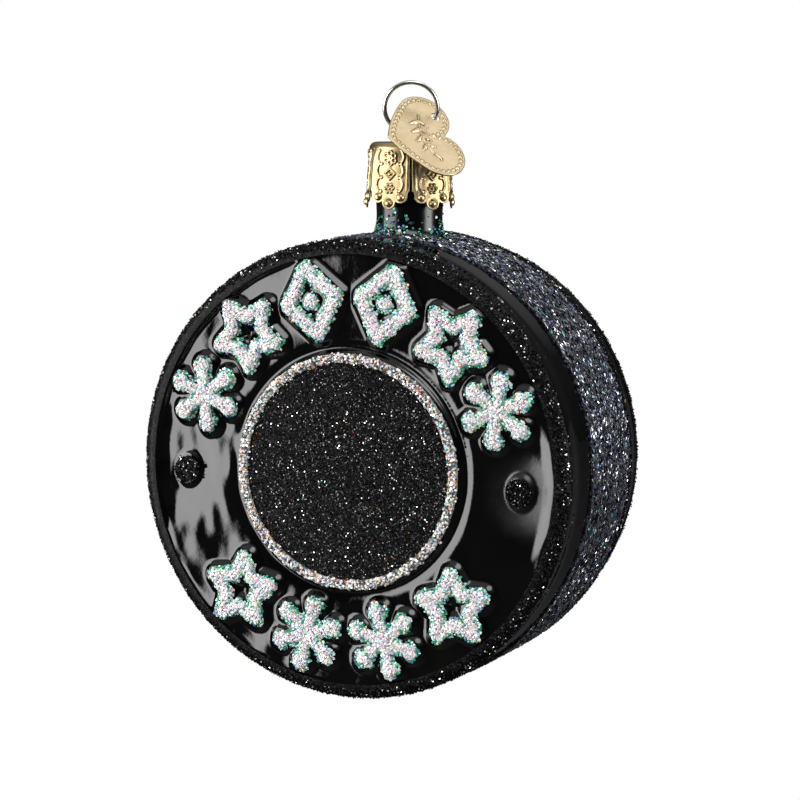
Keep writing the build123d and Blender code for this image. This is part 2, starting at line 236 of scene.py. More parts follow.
def lathe_puck():
    nth = 600
    th = np.linspace(0, 2 * np.pi, nth, endpoint=False)
    rings = []   # (r, y, nr, ny, kind)
    rr = np.concatenate([np.linspace(1.2, 18.2, 10), np.linspace(18.8, 35.1, 58)])
    for r in rr:
        rings.append((r, FRONT_Y, 0, -1, "f"))
    for a in np.linspace(0, 90, 9)[1:]:
        rings.append((35.1 + F_RHO * math.sin(rad(a)), FRONT_Y + F_RHO - F_RHO * math.cos(rad(a)), math.sin(rad(a)), -math.cos(rad(a)), "fr"))
    for y in np.linspace(-18.5, 14.5, 45)[1:]:
        rings.append((PUCK_R, y, 1, 0, "s"))
    for a in np.linspace(90, 0, 12)[1:]:
        rings.append((33.3 + B_RHO * math.sin(rad(a)), 14.5 + B_RHO * math.cos(rad(a)), math.sin(rad(a)), math.cos(rad(a)), "br"))
    rb = np.concatenate([np.linspace(33.3, 18.8, 50)[1:], np.linspace(18.2, 1.2, 10)])
    for r in rb:
        rings.append((r, BACK_Y, 0, 1, "b"))
    V = []
    for r, y, nr, ny, kind in rings:
        x, z = r * np.cos(th), r * np.sin(th)
        if kind == "f":
            d = face_height(x, z, 0)
        elif kind == "b":
            d = face_height(-x, z, 1)
        elif kind == "s":
            d = side_radius(np.full(nth, y), th)
        elif kind == "fr":
            d = side_radius(np.full(nth, -18.5), th) * nr
        else:
            d = side_radius(np.full(nth, 14.5), th) * nr
        R = r + d * nr
        V.append(np.stack([CX + R * np.cos(th), np.full(nth, CY + y) + d * ny, CZ + R * np.sin(th)], 1))
    V = np.vstack(V)
    n = len(rings)
    i = np.arange(nth)
    j = (i + 1) % nth
    F = []
    for k in range(n - 1):
        a, b = k * nth, (k + 1) * nth
        F.append(np.stack([a + i, a + j, b + j, b + i], 1))
    F = np.vstack(F)
    c0, c1 = len(V), len(V) + 1
    V = np.vstack([V, [[CX, CY + FRONT_Y - PAD_H, CZ]], [[CX, CY + BACK_Y + PAD_H, CZ]]])
    faces = [tuple(f) for f in F]
    faces += [(int(a), c0, int(b)) for a, b in zip(j, i)]
    last = (n - 1) * nth
    faces += [(int(last + a), c1, int(last + b)) for a, b in zip(i, j)]
    return V, faces


def lathe_neck():
    """Open-topped neck with a foot that follows the round of the side."""
    nth = 144
    th = np.linspace(0, 2 * np.pi, nth, endpoint=False)
    foot_z = CZ + PUCK_R
    sect = []   # (radius, height, follow)  follow 1 hugs the puck, 0 is level
    for a in np.linspace(0, 90, 12):
        rr = NECK_R + 1.35 * (1 - math.sin(rad(a)))
        hh = 1.75 * (1 - math.cos(rad(a))) - 0.05
        sect.append((rr, hh, 1 - a / 130))
    for h in np.linspace(2.2, NECK_TOP - foot_z - 0.35, 26):
        t = (h - 2.2) / (NECK_TOP - foot_z - 2.6)
        sect.append((NECK_R - 0.10 * math.exp(-((h - 3.2) / 1.6) ** 2) + 0.0 * t, h, 0.30 * max(0, 1 - h / 5)))
    topz = NECK_TOP - foot_z
    for a in np.linspace(0, 180, 9):
        sect.append((NECK_R - 0.45 + 0.45 * math.cos(rad(a)), topz - 0.35 + 0.35 * math.sin(rad(a)), 0))
    for h in np.linspace(topz - 1.5, -4.0, 8):
        sect.append((NECK_R - 0.90, h, 0))
    V = []
    for r, h, follow in sect:
        x = AX + r * np.cos(th)
        drop = PUCK_R - np.sqrt(PUCK_R ** 2 - (x - CX) ** 2)
        V.append(np.stack([x, CY + r * np.sin(th), foot_z + h - drop * follow], 1))
    V = np.vstack(V)
    n = len(sect)
    i = np.arange(nth)
    j = (i + 1) % nth
    F = [tuple(int(q) for q in f) for k in range(n - 1) for f in np.stack([k * nth + i, k * nth + j, (k + 1) * nth + j, (k + 1) * nth + i], 1)]
    c = len(V)
    V = np.vstack([V, [[AX, CY, foot_z - 4.0]], [[AX, CY, foot_z - 5.0]]])
    last = (n - 1) * nth
    F += [(int(last + a), int(last + b), c) for a, b in zip(i, j)]
    F += [(int(b), int(a), c + 1) for a, b in zip(i, j)]
    return V, F


# ------------------------------------------------------------------ materials
def principled(name):
    m = bpy.data.materials.new(name)
    m.use_nodes = True
    nt = m.node_tree
    return m, nt, nt.nodes["Principled BSDF"]


def object_noise(nt, scale, detail=4.0, rough=0.55, stretch=None):
    tc = nt.nodes.new("ShaderNodeTexCoord")
    src = tc.outputs["Object"]
    if stretch is not None:
        mp = nt.nodes.new("ShaderNodeMapping")
        mp.inputs["Scale"].default_value = stretch
        nt.links.new(src, mp.inputs["Vector"])
        src = mp.outputs["Vector"]
    n = nt.nodes.new("ShaderNodeTexNoise")
    n.inputs["Scale"].default_value = scale
    n.inputs["Detail"].default_value = detail
    n.inputs["Roughness"].default_value = rough
    nt.links.new(src, n.inputs["Vector"])
    return n, src


def ramp(nt, fac, stops):
    r = nt.nodes.new("ShaderNodeValToRGB")
    el = r.color_ramp.elements
    while len(el) < len(stops):
        el.new(0.5)
    for e, (p, c) in zip(el, stops):
        e.position = p
        e.color = (*c, 1)
    nt.links.new(fac, r.inputs["Fac"])
    return r


def maprange(nt, val, a, b, c, d):
    m = nt.nodes.new("ShaderNodeMapRange")
    for k, v in zip(("From Min", "From Max", "To Min", "To Max"), (a, b, c, d)):
        m.inputs[k].default_value = v
    nt.links.new(val, m.inputs["Value"])
    return m


def bump(nt, bsdf, height, strength, dist):
    b = nt.nodes.new("ShaderNodeBump")
    b.inputs["Strength"].default_value = strength
    b.inputs["Distance"].default_value = dist
    nt.links.new(height, b.inputs["Height"])
    nt.links.new(b.outputs["Normal"], bsdf.inputs["Normal"])
    return b


def mat_black_glass(name="black_lacquered_glass", lo=0.020, hi=0.070):
    m, nt, p = principled(name)
    n, src = object_noise(nt, 90, 5)
    r = ramp(nt, n.outputs["Fac"], [(0.30, (0.0008, 0.0008, 0.0009)), (0.62, (0.0014, 0.0015, 0.0014)), (0.80, (0.0034, 0.0031, 0.0026))])
    nt.links.new(r.outputs["Color"], p.inputs["Base Color"])
    n2, _ = object_noise(nt, 420, 3)
    mr = maprange(nt, n2.outputs["Fac"], 0.3, 0.75, lo, hi)
    near = None
    for cx, cy in ((CX + 29.2, CY + FRONT_Y), (CX - 29.2, CY + BACK_Y)):
        di = nt.nodes.new("ShaderNodeVectorMath")
        di.operation = "DISTANCE"
        nt.links.new(src, di.inputs[0])
        di.inputs[1].default_value = (cx * MM, cy * MM, (CZ - 2.4) * MM)
        fade = maprange(nt, di.outputs["Value"], 0.0030, 0.0090, 0.26, 0.0)
        fade.interpolation_type = "SMOOTHSTEP"
        if near is None:
            near = fade.outputs["Result"]
        else:
            ad = nt.nodes.new("ShaderNodeMath")
            ad.operation = "ADD"
            nt.links.new(near, ad.inputs[0])
            nt.links.new(fade.outputs["Result"], ad.inputs[1])
            near = ad.outputs[0]
    tot = nt.nodes.new("ShaderNodeMath")
    tot.operation = "ADD"
    nt.links.new(mr.outputs["Result"], tot.inputs[0])
    nt.links.new(near, tot.inputs[1])
    nt.links.new(tot.outputs[0], p.inputs["Roughness"])
    p.inputs["IOR"].default_value = 1.52
    n3, _ = object_noise(nt, 1100, 2)
    bump(nt, p, n3.outputs["Fac"], 0.10, 0.00012)
    return m


def mat_coat(name, dark, light, spark, scale, rough=(0.25, 0.5), metal=0.0, stretch=None, pow_stop=(0.55, 0.9), spec=0.5):
    """Packed grains set in glue: cell colours and cell-wise bump."""
    m, nt, p = principled(name)
    tc = nt.nodes.new("ShaderNodeTexCoord")
    src = tc.outputs["Object"]
    if stretch is not None:
        mp = nt.nodes.new("ShaderNodeMapping")
        mp.inputs["Scale"].default_value = stretch
        nt.links.new(src, mp.inputs["Vector"])
        src = mp.outputs["Vector"]
    v = nt.nodes.new("ShaderNodeTexVoronoi")
    v.inputs["Scale"].default_value = scale
    nt.links.new(src, v.inputs["Vector"])
    sep = nt.nodes.new("ShaderNodeSeparateColor")
    nt.links.new(v.outputs["Color"], sep.inputs["Color"])
    r = ramp(nt, sep.outputs["Red"], [(0.0, dark), (pow_stop[0], light), (pow_stop[1], spark)])
    nt.links.new(r.outputs["Color"], p.inputs["Base Color"])
    mr = maprange(nt, sep.outputs["Green"], 0, 1, rough[0], rough[1])
    nt.links.new(mr.outputs["Result"], p.inputs["Roughness"])
    p.inputs["Metallic"].default_value = metal
    p.inputs["Specular IOR Level"].default_value = spec
    bump(nt, p, sep.outputs["Blue"], 0.8, 0.00018)
    return m


def mat_grain(name, color, metallic=0.0, rough=0.25, coat=0.0, film=0.0, spec=0.5, emit=0.0):
    m, nt, p = principled(name)
    p.inputs["Base Color"].default_value = (*color, 1)
    p.inputs["Metallic"].default_value = metallic
    p.inputs["Roughness"].default_value = rough
    p.inputs["Coat Weight"].default_value = coat
    p.inputs["Coat Roughness"].default_value = 0.08
    p.inputs["Specular IOR Level"].default_value = spec
    if film and "Thin Film Thickness" in p.inputs:
        p.inputs["Thin Film Thickness"].default_value = film
        p.inputs["Thin Film IOR"].default_value = 1.6
    m.diffuse_color = (*color, 1)
    return m


def mat_gold(name, lo, hi, rough, painted_shade_darkest):
    m, nt, p = principled(name)
    n, src = object_noise(nt, 260, 5, 0.6)
    r = ramp(nt, n.outputs["Fac"], [(0.25, lo), (0.75, hi)])
    # painted shade: a per-vertex shade value scales the gold's colour down towards the darkest factor on the flats and
    # round the relief, and leaves it full on the raised relief
    at = nt.nodes.new("ShaderNodeAttribute")
    at.attribute_name = "relief_painted_shade"
    shade = maprange(nt, at.outputs["Fac"], 0.0, 1.0, painted_shade_darkest, 1.0)
    mix = nt.nodes.new("ShaderNodeMix")
    mix.data_type = "RGBA"
    mix.blend_type = "MULTIPLY"
    mix.inputs["Factor"].default_value = 1.0
    comb = nt.nodes.new("ShaderNodeCombineColor")
    for k in ("Red", "Green", "Blue"):
        nt.links.new(shade.outputs["Result"], comb.inputs[k])
    nt.links.new(r.outputs["Color"], mix.inputs["A"])
    nt.links.new(comb.outputs["Color"], mix.inputs["B"])
    nt.links.new(mix.outputs["Result"], p.inputs["Base Color"])
    p.inputs["Metallic"].default_value = 1.0
    n2, _ = object_noise(nt, 1500, 4, 0.7)
    mr = maprange(nt, n2.outputs["Fac"], 0.3, 0.7, rough[0], rough[1])
    nt.links.new(mr.outputs["Result"], p.inputs["Roughness"])
    bump(nt, p, n2.outputs["Fac"], 0.35, 0.00006)
    return m


def mat_steel():
    m, nt, p = principled("bright_steel_wire")
    n, src = object_noise(nt, 900, 4, 0.6)
    r = ramp(nt, n.outputs["Fac"], [(0.3, (0.52, 0.52, 0.51)), (0.7, (0.78, 0.78, 0.77))])
    nt.links.new(r.outputs["Color"], p.inputs["Base Color"])
    p.inputs["Metallic"].default_value = 1.0
    mr = maprange(nt, n.outputs["Fac"], 0.3, 0.7, 0.12, 0.26)
    nt.links.new(mr.outputs["Result"], p.inputs["Roughness"])
    bump(nt, p, n.outputs["Fac"], 0.15, 0.00005)
    return m


M_GLASS = mat_black_glass()
M_PEARL = mat_coat("pearl_glue_bed", (0.42, 0.52, 0.50), (0.78, 0.78, 0.78), (0.9, 0.86, 0.88), 3200)
M_HOLO = mat_coat("hologram_glue_bed", (0.10, 0.10, 0.10), (0.40, 0.39, 0.37), (0.8, 0.72, 0.66), 2800)
M_BLACK = mat_coat("black_glitter_bed", (0.003, 0.003, 0.003), (0.008, 0.008, 0.008), (0.03, 0.03, 0.03), 5200, (0.18, 0.5), pow_stop=(0.72, 0.97), spec=0.06)
M_SIDE = mat_coat("side_glitter_bed", (0.004, 0.005, 0.009), (0.022, 0.024, 0.036), (0.14, 0.15, 0.18), 2600, (0.2, 0.5), stretch=(1.0, 1.6, 1.0), pow_stop=(0.6, 0.95), spec=0.25)
G = {
    "white": mat_grain("grain_white", (0.86, 0.87, 0.86), 0.0, 0.22, 0.6, 330),
    "pink": mat_grain("grain_pink", (0.88, 0.68, 0.78), 0.05, 0.22, 0.6, 420),
    "lilac": mat_grain("grain_lilac", (0.70, 0.66, 0.82), 0.05, 0.22, 0.6, 450),
    "yellow": mat_grain("grain_yellow", (0.86, 0.84, 0.58), 0.05, 0.22, 0.6, 300),
    "cyan": mat_grain("grain_cyan", (0.58, 0.82, 0.82), 0.05, 0.22, 0.6, 380),
    "mint": mat_grain("grain_mint", (0.52, 0.80, 0.66), 0.1, 0.22, 0.6, 360),
    "teal": mat_grain("grain_teal", (0.04, 0.40, 0.30), 0.35, 0.22, 0.5, 360),
    "green": mat_grain("grain_green", (0.07, 0.52, 0.24), 0.35, 0.22, 0.5, 340),
    "blue": mat_grain("grain_blue", (0.16, 0.30, 0.55), 0.35, 0.22, 0.5, 400),
    "orange": mat_grain("grain_orange", (0.85, 0.36, 0.14), 0.2, 0.25, 0.5),
    "red": mat_grain("grain_red", (0.60, 0.07, 0.05), 0.2, 0.25, 0.5),
    "peach": mat_grain("grain_peach", (0.85, 0.62, 0.46), 0.15, 0.25, 0.5),
    "grey": mat_grain("grain_grey", (0.15, 0.15, 0.155), 0.6, 0.28, 0.3),
    "black": mat_grain("grain_black", (0.0016, 0.0016, 0.0018), 0.0, 0.15, 0.0, spec=0.07),
    "jet": mat_grain("grain_jet", (0.0035, 0.0035, 0.0038), 0.0, 0.16, 0.0, spec=0.55),
    "silver": mat_grain("grain_silver", (0.80, 0.80, 0.80), 1.0, 0.20),
    "steelblue": mat_grain("grain_steelblue", (0.34, 0.37, 0.45), 1.0, 0.24),
    "indigo": mat_grain("grain_indigo", (0.035, 0.040, 0.14), 0.75, 0.26),
    "slate": mat_grain("grain_slate", (0.105, 0.110, 0.125), 0.7, 0.28),
}


# ------------------------------------------------------------------ glitter grains
def grains(name, P, N, size, mats, choice, sides=6, thick=0.16, aspect=1.0, T=None, seed=0, tilt=0.3, squash_top=0.78):
    """Closed little plates: P centres (mm), N outward normals, size across, choice picks a material per grain, T an optional long direction."""
    g = np.random.default_rng(seed)
    n = len(P)
    N = N + g.normal(0, tilt, (n, 3))
    N = N / np.linalg.norm(N, axis=1, keepdims=True)
    if T is None:
        T = g.normal(0, 1, (n, 3))
    A = T - (T * N).sum(1, keepdims=True) * N
    A = A / np.linalg.norm(A, axis=1, keepdims=True)
    B = np.cross(N, A)
    ang = np.linspace(0, 2 * np.pi, sides, endpoint=False)[None, :] + g.uniform(0, 0.5, (n, 1)) * (aspect == 1.0)
    jit = 1 + g.uniform(-0.16, 0.16, (n, sides))
    ca = np.cos(ang) * jit * (size[:, None] / 2) * aspect
    sa = np.sin(ang) * jit * (size[:, None] / 2)
    low = P[:, None, :] + ca[..., None] * A[:, None, :] + sa[..., None] * B[:, None, :] - N[:, None, :] * (thick * size)[:, None, None]
    top = P[:, None, :] + squash_top * (ca[..., None] * A[:, None, :] + sa[..., None] * B[:, None, :]) + N[:, None, :] * (thick * size)[:, None, None]
    V = np.concatenate([low, top], 1).reshape(-1, 3)
    base = np.arange(n)[:, None] * (2 * sides)
    k = np.arange(sides)
    k2 = (k + 1) % sides
    # sides as quads, top and bottom as fans of quads and triangles, written as loops of one length each
    me = bpy.data.meshes.new(name)
    quads = np.stack([base + k, base + k2, base + sides + k2, base + sides + k], -1).reshape(-1)
    topf = (base + sides + k[None, :]).reshape(-1)
    botf = (base + k[None, ::-1]).reshape(-1)
    loops = np.concatenate([quads, topf, botf]).astype(np.int32)
    nq = n * sides
    totals = np.concatenate([np.full(nq, 4), np.full(n, sides), np.full(n, sides)]).astype(np.int32)
    starts = np.concatenate([[0], np.cumsum(totals)[:-1]]).astype(np.int32)
    me.vertices.add(len(V))
    me.vertices.foreach_set("co", (V * MM).astype(np.float32).ravel())
    me.loops.add(len(loops))
    me.loops.foreach_set("vertex_index", loops)
    me.polygons.add(len(totals))
    me.polygons.foreach_set("loop_start", starts)
    me.polygons.foreach_set("loop_total", totals)
    mi = np.concatenate([np.repeat(choice, sides), choice, choice]).astype(np.int32)
    for m in mats:
        me.materials.append(G[m])
    me.polygons.foreach_set("material_index", mi)
    me.polygons.foreach_set("use_smooth", np.zeros(len(totals), bool))
    me.update(calc_edges=True)
    ob = bpy.data.objects.new(name, me)
    bpy.context.scene.collection.objects.link(ob)
    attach(ob, "ornament")
    return ob


def pick(g, n, table):
    names = list(table)
    w = np.array([table[k] for k in names], float)
    return names, g.choice(len(names), n, p=w / w.sum())


def hexgrid(x0, x1, z0, z1, s, g, jitter=0.36):
    xs = np.arange(x0, x1, s)
    zs = np.arange(z0, z1, s * 0.866)
    X, Z = np.meshgrid(xs, zs)
    X = X + (np.arange(len(zs))[:, None] % 2) * s / 2
    X, Z = X.ravel(), Z.ravel()
    return X + g.uniform(-jitter, jitter, len(X)) * s, Z + g.uniform(-jitter, jitter, len(X)) * s


def to_row(x, z, h, back):
    """Face-local (x right, z up, h out) to the row frame."""
    if back:
        return np.stack([CX - x, CY + BACK_Y + h, CZ + z], 1)
    return np.stack([CX + x, CY + FRONT_Y - h, CZ + z], 1)


def dir_row(x, z, h, back):
    return np.stack([-x, h, z], 1) if back else np.stack([x, -h, z], 1)


def face_normals(x, z, back):
    d = 0.05
    hx = (face_height(x + d, z, back) - face_height(x - d, z, back)) / (2 * d)
    hz = (face_height(x, z + d, back) - face_height(x, z - d, back)) / (2 * d)
    return dir_row(-hx, -hz, np.ones(len(x)), back)


def mark_grains(which, back):
    segs = SEGS[(back, which)]
    g = np.random.default_rng(100 + back * 10 + (which == "lower"))
    x, z = hexgrid(-37, 37, -37, 37, 0.345, g)
    e, gx, gz = edge_distance(x, z, segs)
    wob = waves(40 + back, 14, 1.2, 3.0)(x, z) * 0.13
    keep = e + wob < 0.36
    x, z, e, gx, gz = x[keep], z[keep], e[keep], gx[keep], gz[keep]
    n = len(x)
    inside = np.clip(-e / 1.0, 0, 1)
    puff = 0.80 + COAT + 0.26 * np.sqrt(inside) * (1 + 0.3 * waves(44, 10, 2, 5)(x, z))
    h = np.where(e < -0.05, puff, face_height(x, z, back) + 0.16) + g.uniform(-0.05, 0.10, n)
    lean = 0.75 * (1 - np.clip(-e / 0.75, 0, 1))
    N = dir_row(gx * lean, gz * lean, np.ones(n), back)
    size = g.normal(0.46, 0.08, n).clip(0.28, 0.68)
    names = ["white", "pink", "lilac", "yellow", "cyan", "mint", "teal", "green", "blue", "orange"]
    inner = np.array([44, 30, 9, 6, 6, 3, 0.5, 0.5, 0.6, 0.3])
    outer = np.array([9, 1.5, 2, 5, 12, 17, 26, 19, 8, 1.2])
    f = smoothstep(-0.40, 0.02, e + g.normal(0, 0.11, n))
    cum_i, cum_o = np.cumsum(inner / inner.sum()), np.cumsum(outer / outer.sum())
    u = g.uniform(0, 1, n)
    use_outer = g.uniform(0, 1, n) < f
    c = np.where(use_outer, np.searchsorted(cum_o, u), np.searchsorted(cum_i, u)).clip(0, len(names) - 1)
    P = to_row(x, z, h, back)
    return grains(f"{which}_mark_grains_{'back' if back else 'front'}", P, N, size, names, c, 6, 0.17, 1.0, None, 7, 0.30)


def ring_grains(back):
    g = np.random.default_rng(200 + back)
    x, z = hexgrid(-21, 21, -21, 21, 0.37, g)
    r = np.hypot(x, z)
    wob = 0.10 * np.sin(np.arctan2(z, x) * 31) + 0.08 * np.sin(np.arctan2(z, x) * 77 + 1)
    keep = (r > 17.68 + wob) & (r < 19.14 + wob)
    x, z = x[keep], z[keep]
    x = np.concatenate([x, x[::2] + 0.12])
    z = np.concatenate([z, z[::2] - 0.1])
    n = len(x)
    r = np.hypot(x, z)
    a = np.clip((r - 18.41) / 0.76, -1, 1)
    h = PAD_H + 0.65 + 0.18 * np.sqrt(1 - np.minimum(a * a, 1)) - 0.22 * np.abs(a) ** 3 + g.uniform(-0.06, 0.12, n)
    N = dir_row(x / r * a * 0.7, z / r * a * 0.7, np.ones(n), back)
    size = g.normal(0.44, 0.07, n).clip(0.3, 0.62)
    names, c = pick(g, n, {"white": 26, "silver": 15, "pink": 8, "lilac": 5, "peach": 9, "orange": 4.5, "yellow": 6, "cyan": 6, "mint": 3, "blue": 3, "teal": 3, "grey": 34, "red": 0.8})
    return grains(f"ring_grains_{'back' if back else 'front'}", to_row(x, z, h, back), N, size, names, c, 6, 0.24, 1.0, None, 8, 0.55)


BLACK_MIX = {"black": 68, "jet": 12, "grey": 10.0, "silver": 4.2, "slate": 4.0, "orange": 0.10, "red": 0.10, "green": 0.08}


def disc_grains(back):
    g = np.random.default_rng(300 + back)
    x, z = hexgrid(-19, 19, -19, 19, 0.285, g, 0.45)
    r = np.hypot(x, z)
    k = r < 17.8
    x, z = x[k], z[k]
    n = len(x)
    h = np.full(n, PAD_H + COAT) + g.uniform(-0.02, 0.06, n)
    N = dir_row(np.zeros(n), np.zeros(n), np.ones(n), back)
    size = g.normal(0.25, 0.05, n).clip(0.14, 0.38)
    names, c = pick(g, n, BLACK_MIX)
    size = np.where(c == names.index("silver"), size * 1.15, size)
    return grains(f"disc_grains_{'back' if back else 'front'}", to_row(x, z, h, back), N, size, names, c, 4, 0.18, 1.0, None, 9, 0.44)


def dot_grains(back):
    g = np.random.default_rng(320 + back)
    xs, zs = [], []
    for sx in (-29.2, 29.2):
        x, z = hexgrid(sx - 3, sx + 3, -4.6, 1.4, 0.27, g, 0.45)
        d = np.hypot(x - sx, z + 1.6) + 0.18 * np.sin(np.arctan2(z + 1.6, x - sx) * 7 + sx)
        k = d < 2.35
        xs.append(x[k]); zs.append(z[k])
    x, z = np.concatenate(xs), np.concatenate(zs)
    n = len(x)
    h = np.maximum(face_height(x, z, back), COAT * (1 - 0.0 * x)) + g.uniform(0.02, 0.10, n)
    N = face_normals(x, z, back)
    size = g.normal(0.30, 0.05, n).clip(0.18, 0.42)
    names, c = pick(g, n, {"black": 66, "jet": 14, "grey": 5, "silver": 5, "slate": 1.5})
    return grains(f"dot_grains_{'back' if back else 'front'}", to_row(x, z, h, back), N, size, names, c, 4, 0.18, 1.0, None, 10, 0.40)


def band_points(g, s, ylo, yhi, jitter=0.42):
    """Even points over the side, as (angle, y)."""
    na = int(2 * np.pi * PUCK_R / s)
    ys = np.arange(ylo, yhi, s * 0.866)
    A, Y = np.meshgrid(np.arange(na) * (2 * np.pi / na), ys)
    A = A + (np.arange(len(ys))[:, None] % 2) * (np.pi / na)
    A, Y = A.ravel(), Y.ravel()
    A = A + g.uniform(-jitter, jitter, len(A)) * s / PUCK_R
    Y = Y + g.uniform(-jitter, jitter, len(Y)) * s
    return A, Y


def on_side(A, Y, r):
    return np.stack([CX + r * np.cos(A), CY + Y, CZ + r * np.sin(A)], 1)


def near_neck(A, Y, rr):
    P = on_side(A, Y, PUCK_R)
    return (np.hypot(P[:, 0] - AX, P[:, 1] - CY) < rr) & (P[:, 2] > CZ)


def side_grains():
    g = np.random.default_rng(400)
    A, Y = band_points(g, 0.50, -9.45, 9.45)
    k = ~near_neck(A, Y, NECK_R + 0.9)
    A, Y = A[k], Y[k]
    edge = np.abs(Y) + 0.25 * np.sin(A * 60) + 0.15 * np.sin(A * 171)
    k = edge < 9.35
    A, Y = A[k], Y[k]
    n = len(A)
    P = on_side(A, Y, PUCK_R + COAT + g.uniform(-0.05, 0.12, n))
    N = np.stack([np.cos(A), np.zeros(n), np.sin(A)], 1)
    swirl = 0.22 * np.sin(A * 9) + 0.18 * np.sin(Y * 0.9 + A * 4) + g.normal(0, 0.16, n)
    T = np.stack([-np.sin(A), np.zeros(n), np.cos(A)], 1) + np.array([0, 1, 0])[None, :] * swirl[:, None]
    size = g.normal(0.30, 0.05, n).clip(0.18, 0.46)
    names, c = pick(g, n, {"slate": 25, "indigo": 8, "steelblue": 16, "silver": 12, "black": 35, "grey": 8, "blue": 1.0, "teal": 0.9, "white": 0.6})
    return grains("side_grains", P, N, size, names, c, 4, 0.16, 2.6, T, 11, 0.24)


def rim_grains(back):
    g = np.random.default_rng(500 + back)
    rho = B_RHO if back else F_RHO
    mx = PUCK_R - rho
    my = (BACK_Y - rho) if back else (FRONT_Y + rho)
    sgn = 1 if back else -1
    a0, a1 = (15, 49) if back else (8, 68)
    L = rad(a1 - a0) * (rho + COAT)
    na = int(2 * np.pi * 36.5 / 0.32)
    nb = max(3, int(L / 0.28))
    A, B = np.meshgrid(np.arange(na) * 2 * np.pi / na, np.linspace(0, 1, nb))
    A, B = A.ravel(), B.ravel()
    A = A + g.uniform(-0.5, 0.5, len(A)) * 0.32 / 36.5
    B = B + g.uniform(-0.5, 0.5, len(B)) / nb
    ragged = 0.10 * np.sin(A * 47) + 0.08 * np.sin(A * 113 + 2)
    k = (B > -0.02 + ragged * 0.9) & (B < 1.02 + ragged * 0.7)
    k &= g.uniform(0, 1, len(B)) < 0.35 + 0.65 * smoothstep(0.0, 0.45, B)
    # the band thins out towards the left of the front
    if not back:
        k &= B > 0.50 * smoothstep(0.25, 0.95, -np.cos(A)) + ragged * 0.8
    A, B = A[k], B[k]
    n = len(A)
    ph = np.radians(a0 + (a1 - a0) * B)
    flat = ph < 0
    rr = mx + (rho + COAT) * np.sin(np.maximum(ph, 0)) + np.where(flat, ph * (rho + COAT), 0)
    yy = my + sgn * (rho + COAT) * np.cos(np.maximum(ph, 0)) - sgn * np.where(flat, COAT * 0.7, 0)
    lift = g.uniform(-0.03, 0.10, n)
    nr, ny = np.sin(np.maximum(ph, 0)), sgn * np.cos(np.maximum(ph, 0))
    rr, yy = rr + lift * nr, yy + lift * ny
    P = np.stack([CX + rr * np.cos(A), CY + yy, CZ + rr * np.sin(A)], 1)
    N = np.stack([nr * np.cos(A), ny, nr * np.sin(A)], 1)
    size = g.normal(0.31, 0.06, n).clip(0.18, 0.46)
    names, c = pick(g, n, {"black": 80, "jet": 9, "grey": 1.5, "silver": 7.5, "white": 1.0, "slate": 0.8, "orange": 0.2, "green": 0.1})
    return grains(f"rim_grains_{'back' if back else 'front'}", P, N, size, names, c, 4, 0.18, 1.0, None, 12, 0.42)


def line_grains():
    g = np.random.default_rng(600)
    A, Y = band_points(g, 0.30, 9.4, 10.9)
    n = len(A)
    P = on_side(A, Y, PUCK_R + COAT + g.uniform(-0.03, 0.12, n))
    N = np.stack([np.cos(A), np.zeros(n), np.sin(A)], 1)
    size = g.normal(0.32, 0.06, n).clip(0.18, 0.46)
    names, c = pick(g, n, {"black": 74, "jet": 12, "grey": 3, "silver": 5, "slate": 1.5, "orange": 0.2})
    return grains("side_line_grains", P, N, size, names, c, 4, 0.18, 1.0, None, 13, 0.42)


def neck_flakes():
    g = np.random.default_rng(700)
    foot = CZ + PUCK_R
    n = 720
    a = g.uniform(0, 2 * np.pi, n)
    h = np.abs(g.normal(0, 1.0, n)) * 1.25
    hi = g.uniform(0, 1, n) < 0.11
    h = np.where(hi, g.uniform(1.0, 8.5, n), h)
    # gathered in patches round the foot
    patch = 0.5 + 0.5 * np.sin(a * 3 + 1.15)
    k = (h < 8.8) & (g.uniform(0, 1, n) < 0.25 + 0.75 * patch)
    a, h = a[k], h[k]
    n = len(a)
    r = np.where(h < 1.75, NECK_R + 1.35 * (1 - np.sqrt(np.clip(1 - ((1.75 - np.minimum(h, 1.75)) / 1.75) ** 2, 0, 1))), NECK_R) + 0.03
    x = AX + r * np.cos(a)
    drop = (PUCK_R - np.sqrt(PUCK_R ** 2 - (x - CX) ** 2)) * np.clip(1 - h / 5, 0, 1)
    P = np.stack([x, CY + r * np.sin(a), foot + h - drop], 1)
    up = np.clip((1.9 - h) / 1.9, 0, 1) * 0.9
    N = np.stack([np.cos(a), np.sin(a), up], 1)
    # a skirt of flakes lying on the side round the foot
    m = 260
    a2 = g.uniform(0, 2 * np.pi, m)
    a2 = a2[g.uniform(0, 1, m) < 0.3 + 0.7 * (0.5 + 0.5 * np.sin(a2 * 3 + 1.15))]
    m = len(a2)
    r2 = NECK_R + 1.0 + g.uniform(0, 1.1, m)
    x2 = AX + r2 * np.cos(a2)
    z2 = CZ + np.sqrt(PUCK_R ** 2 - (x2 - CX) ** 2) + 0.16
    P = np.vstack([P, np.stack([x2, CY + r2 * np.sin(a2), z2], 1)])
    N = np.vstack([N, np.stack([(x2 - CX) / PUCK_R, np.zeros(m), np.ones(m)], 1)])
    tot = n + m
    size = g.normal(0.45, 0.10, tot).clip(0.22, 0.70)
    names, c = pick(g, tot, {"teal": 24, "green": 17, "blue": 14, "indigo": 26, "steelblue": 6, "mint": 4, "cyan": 1.5, "black": 14, "orange": 0.8})
    return grains("neck_flakes", P, N, size, names, c, 6, 0.06, 1.0, None, 14, 0.22)


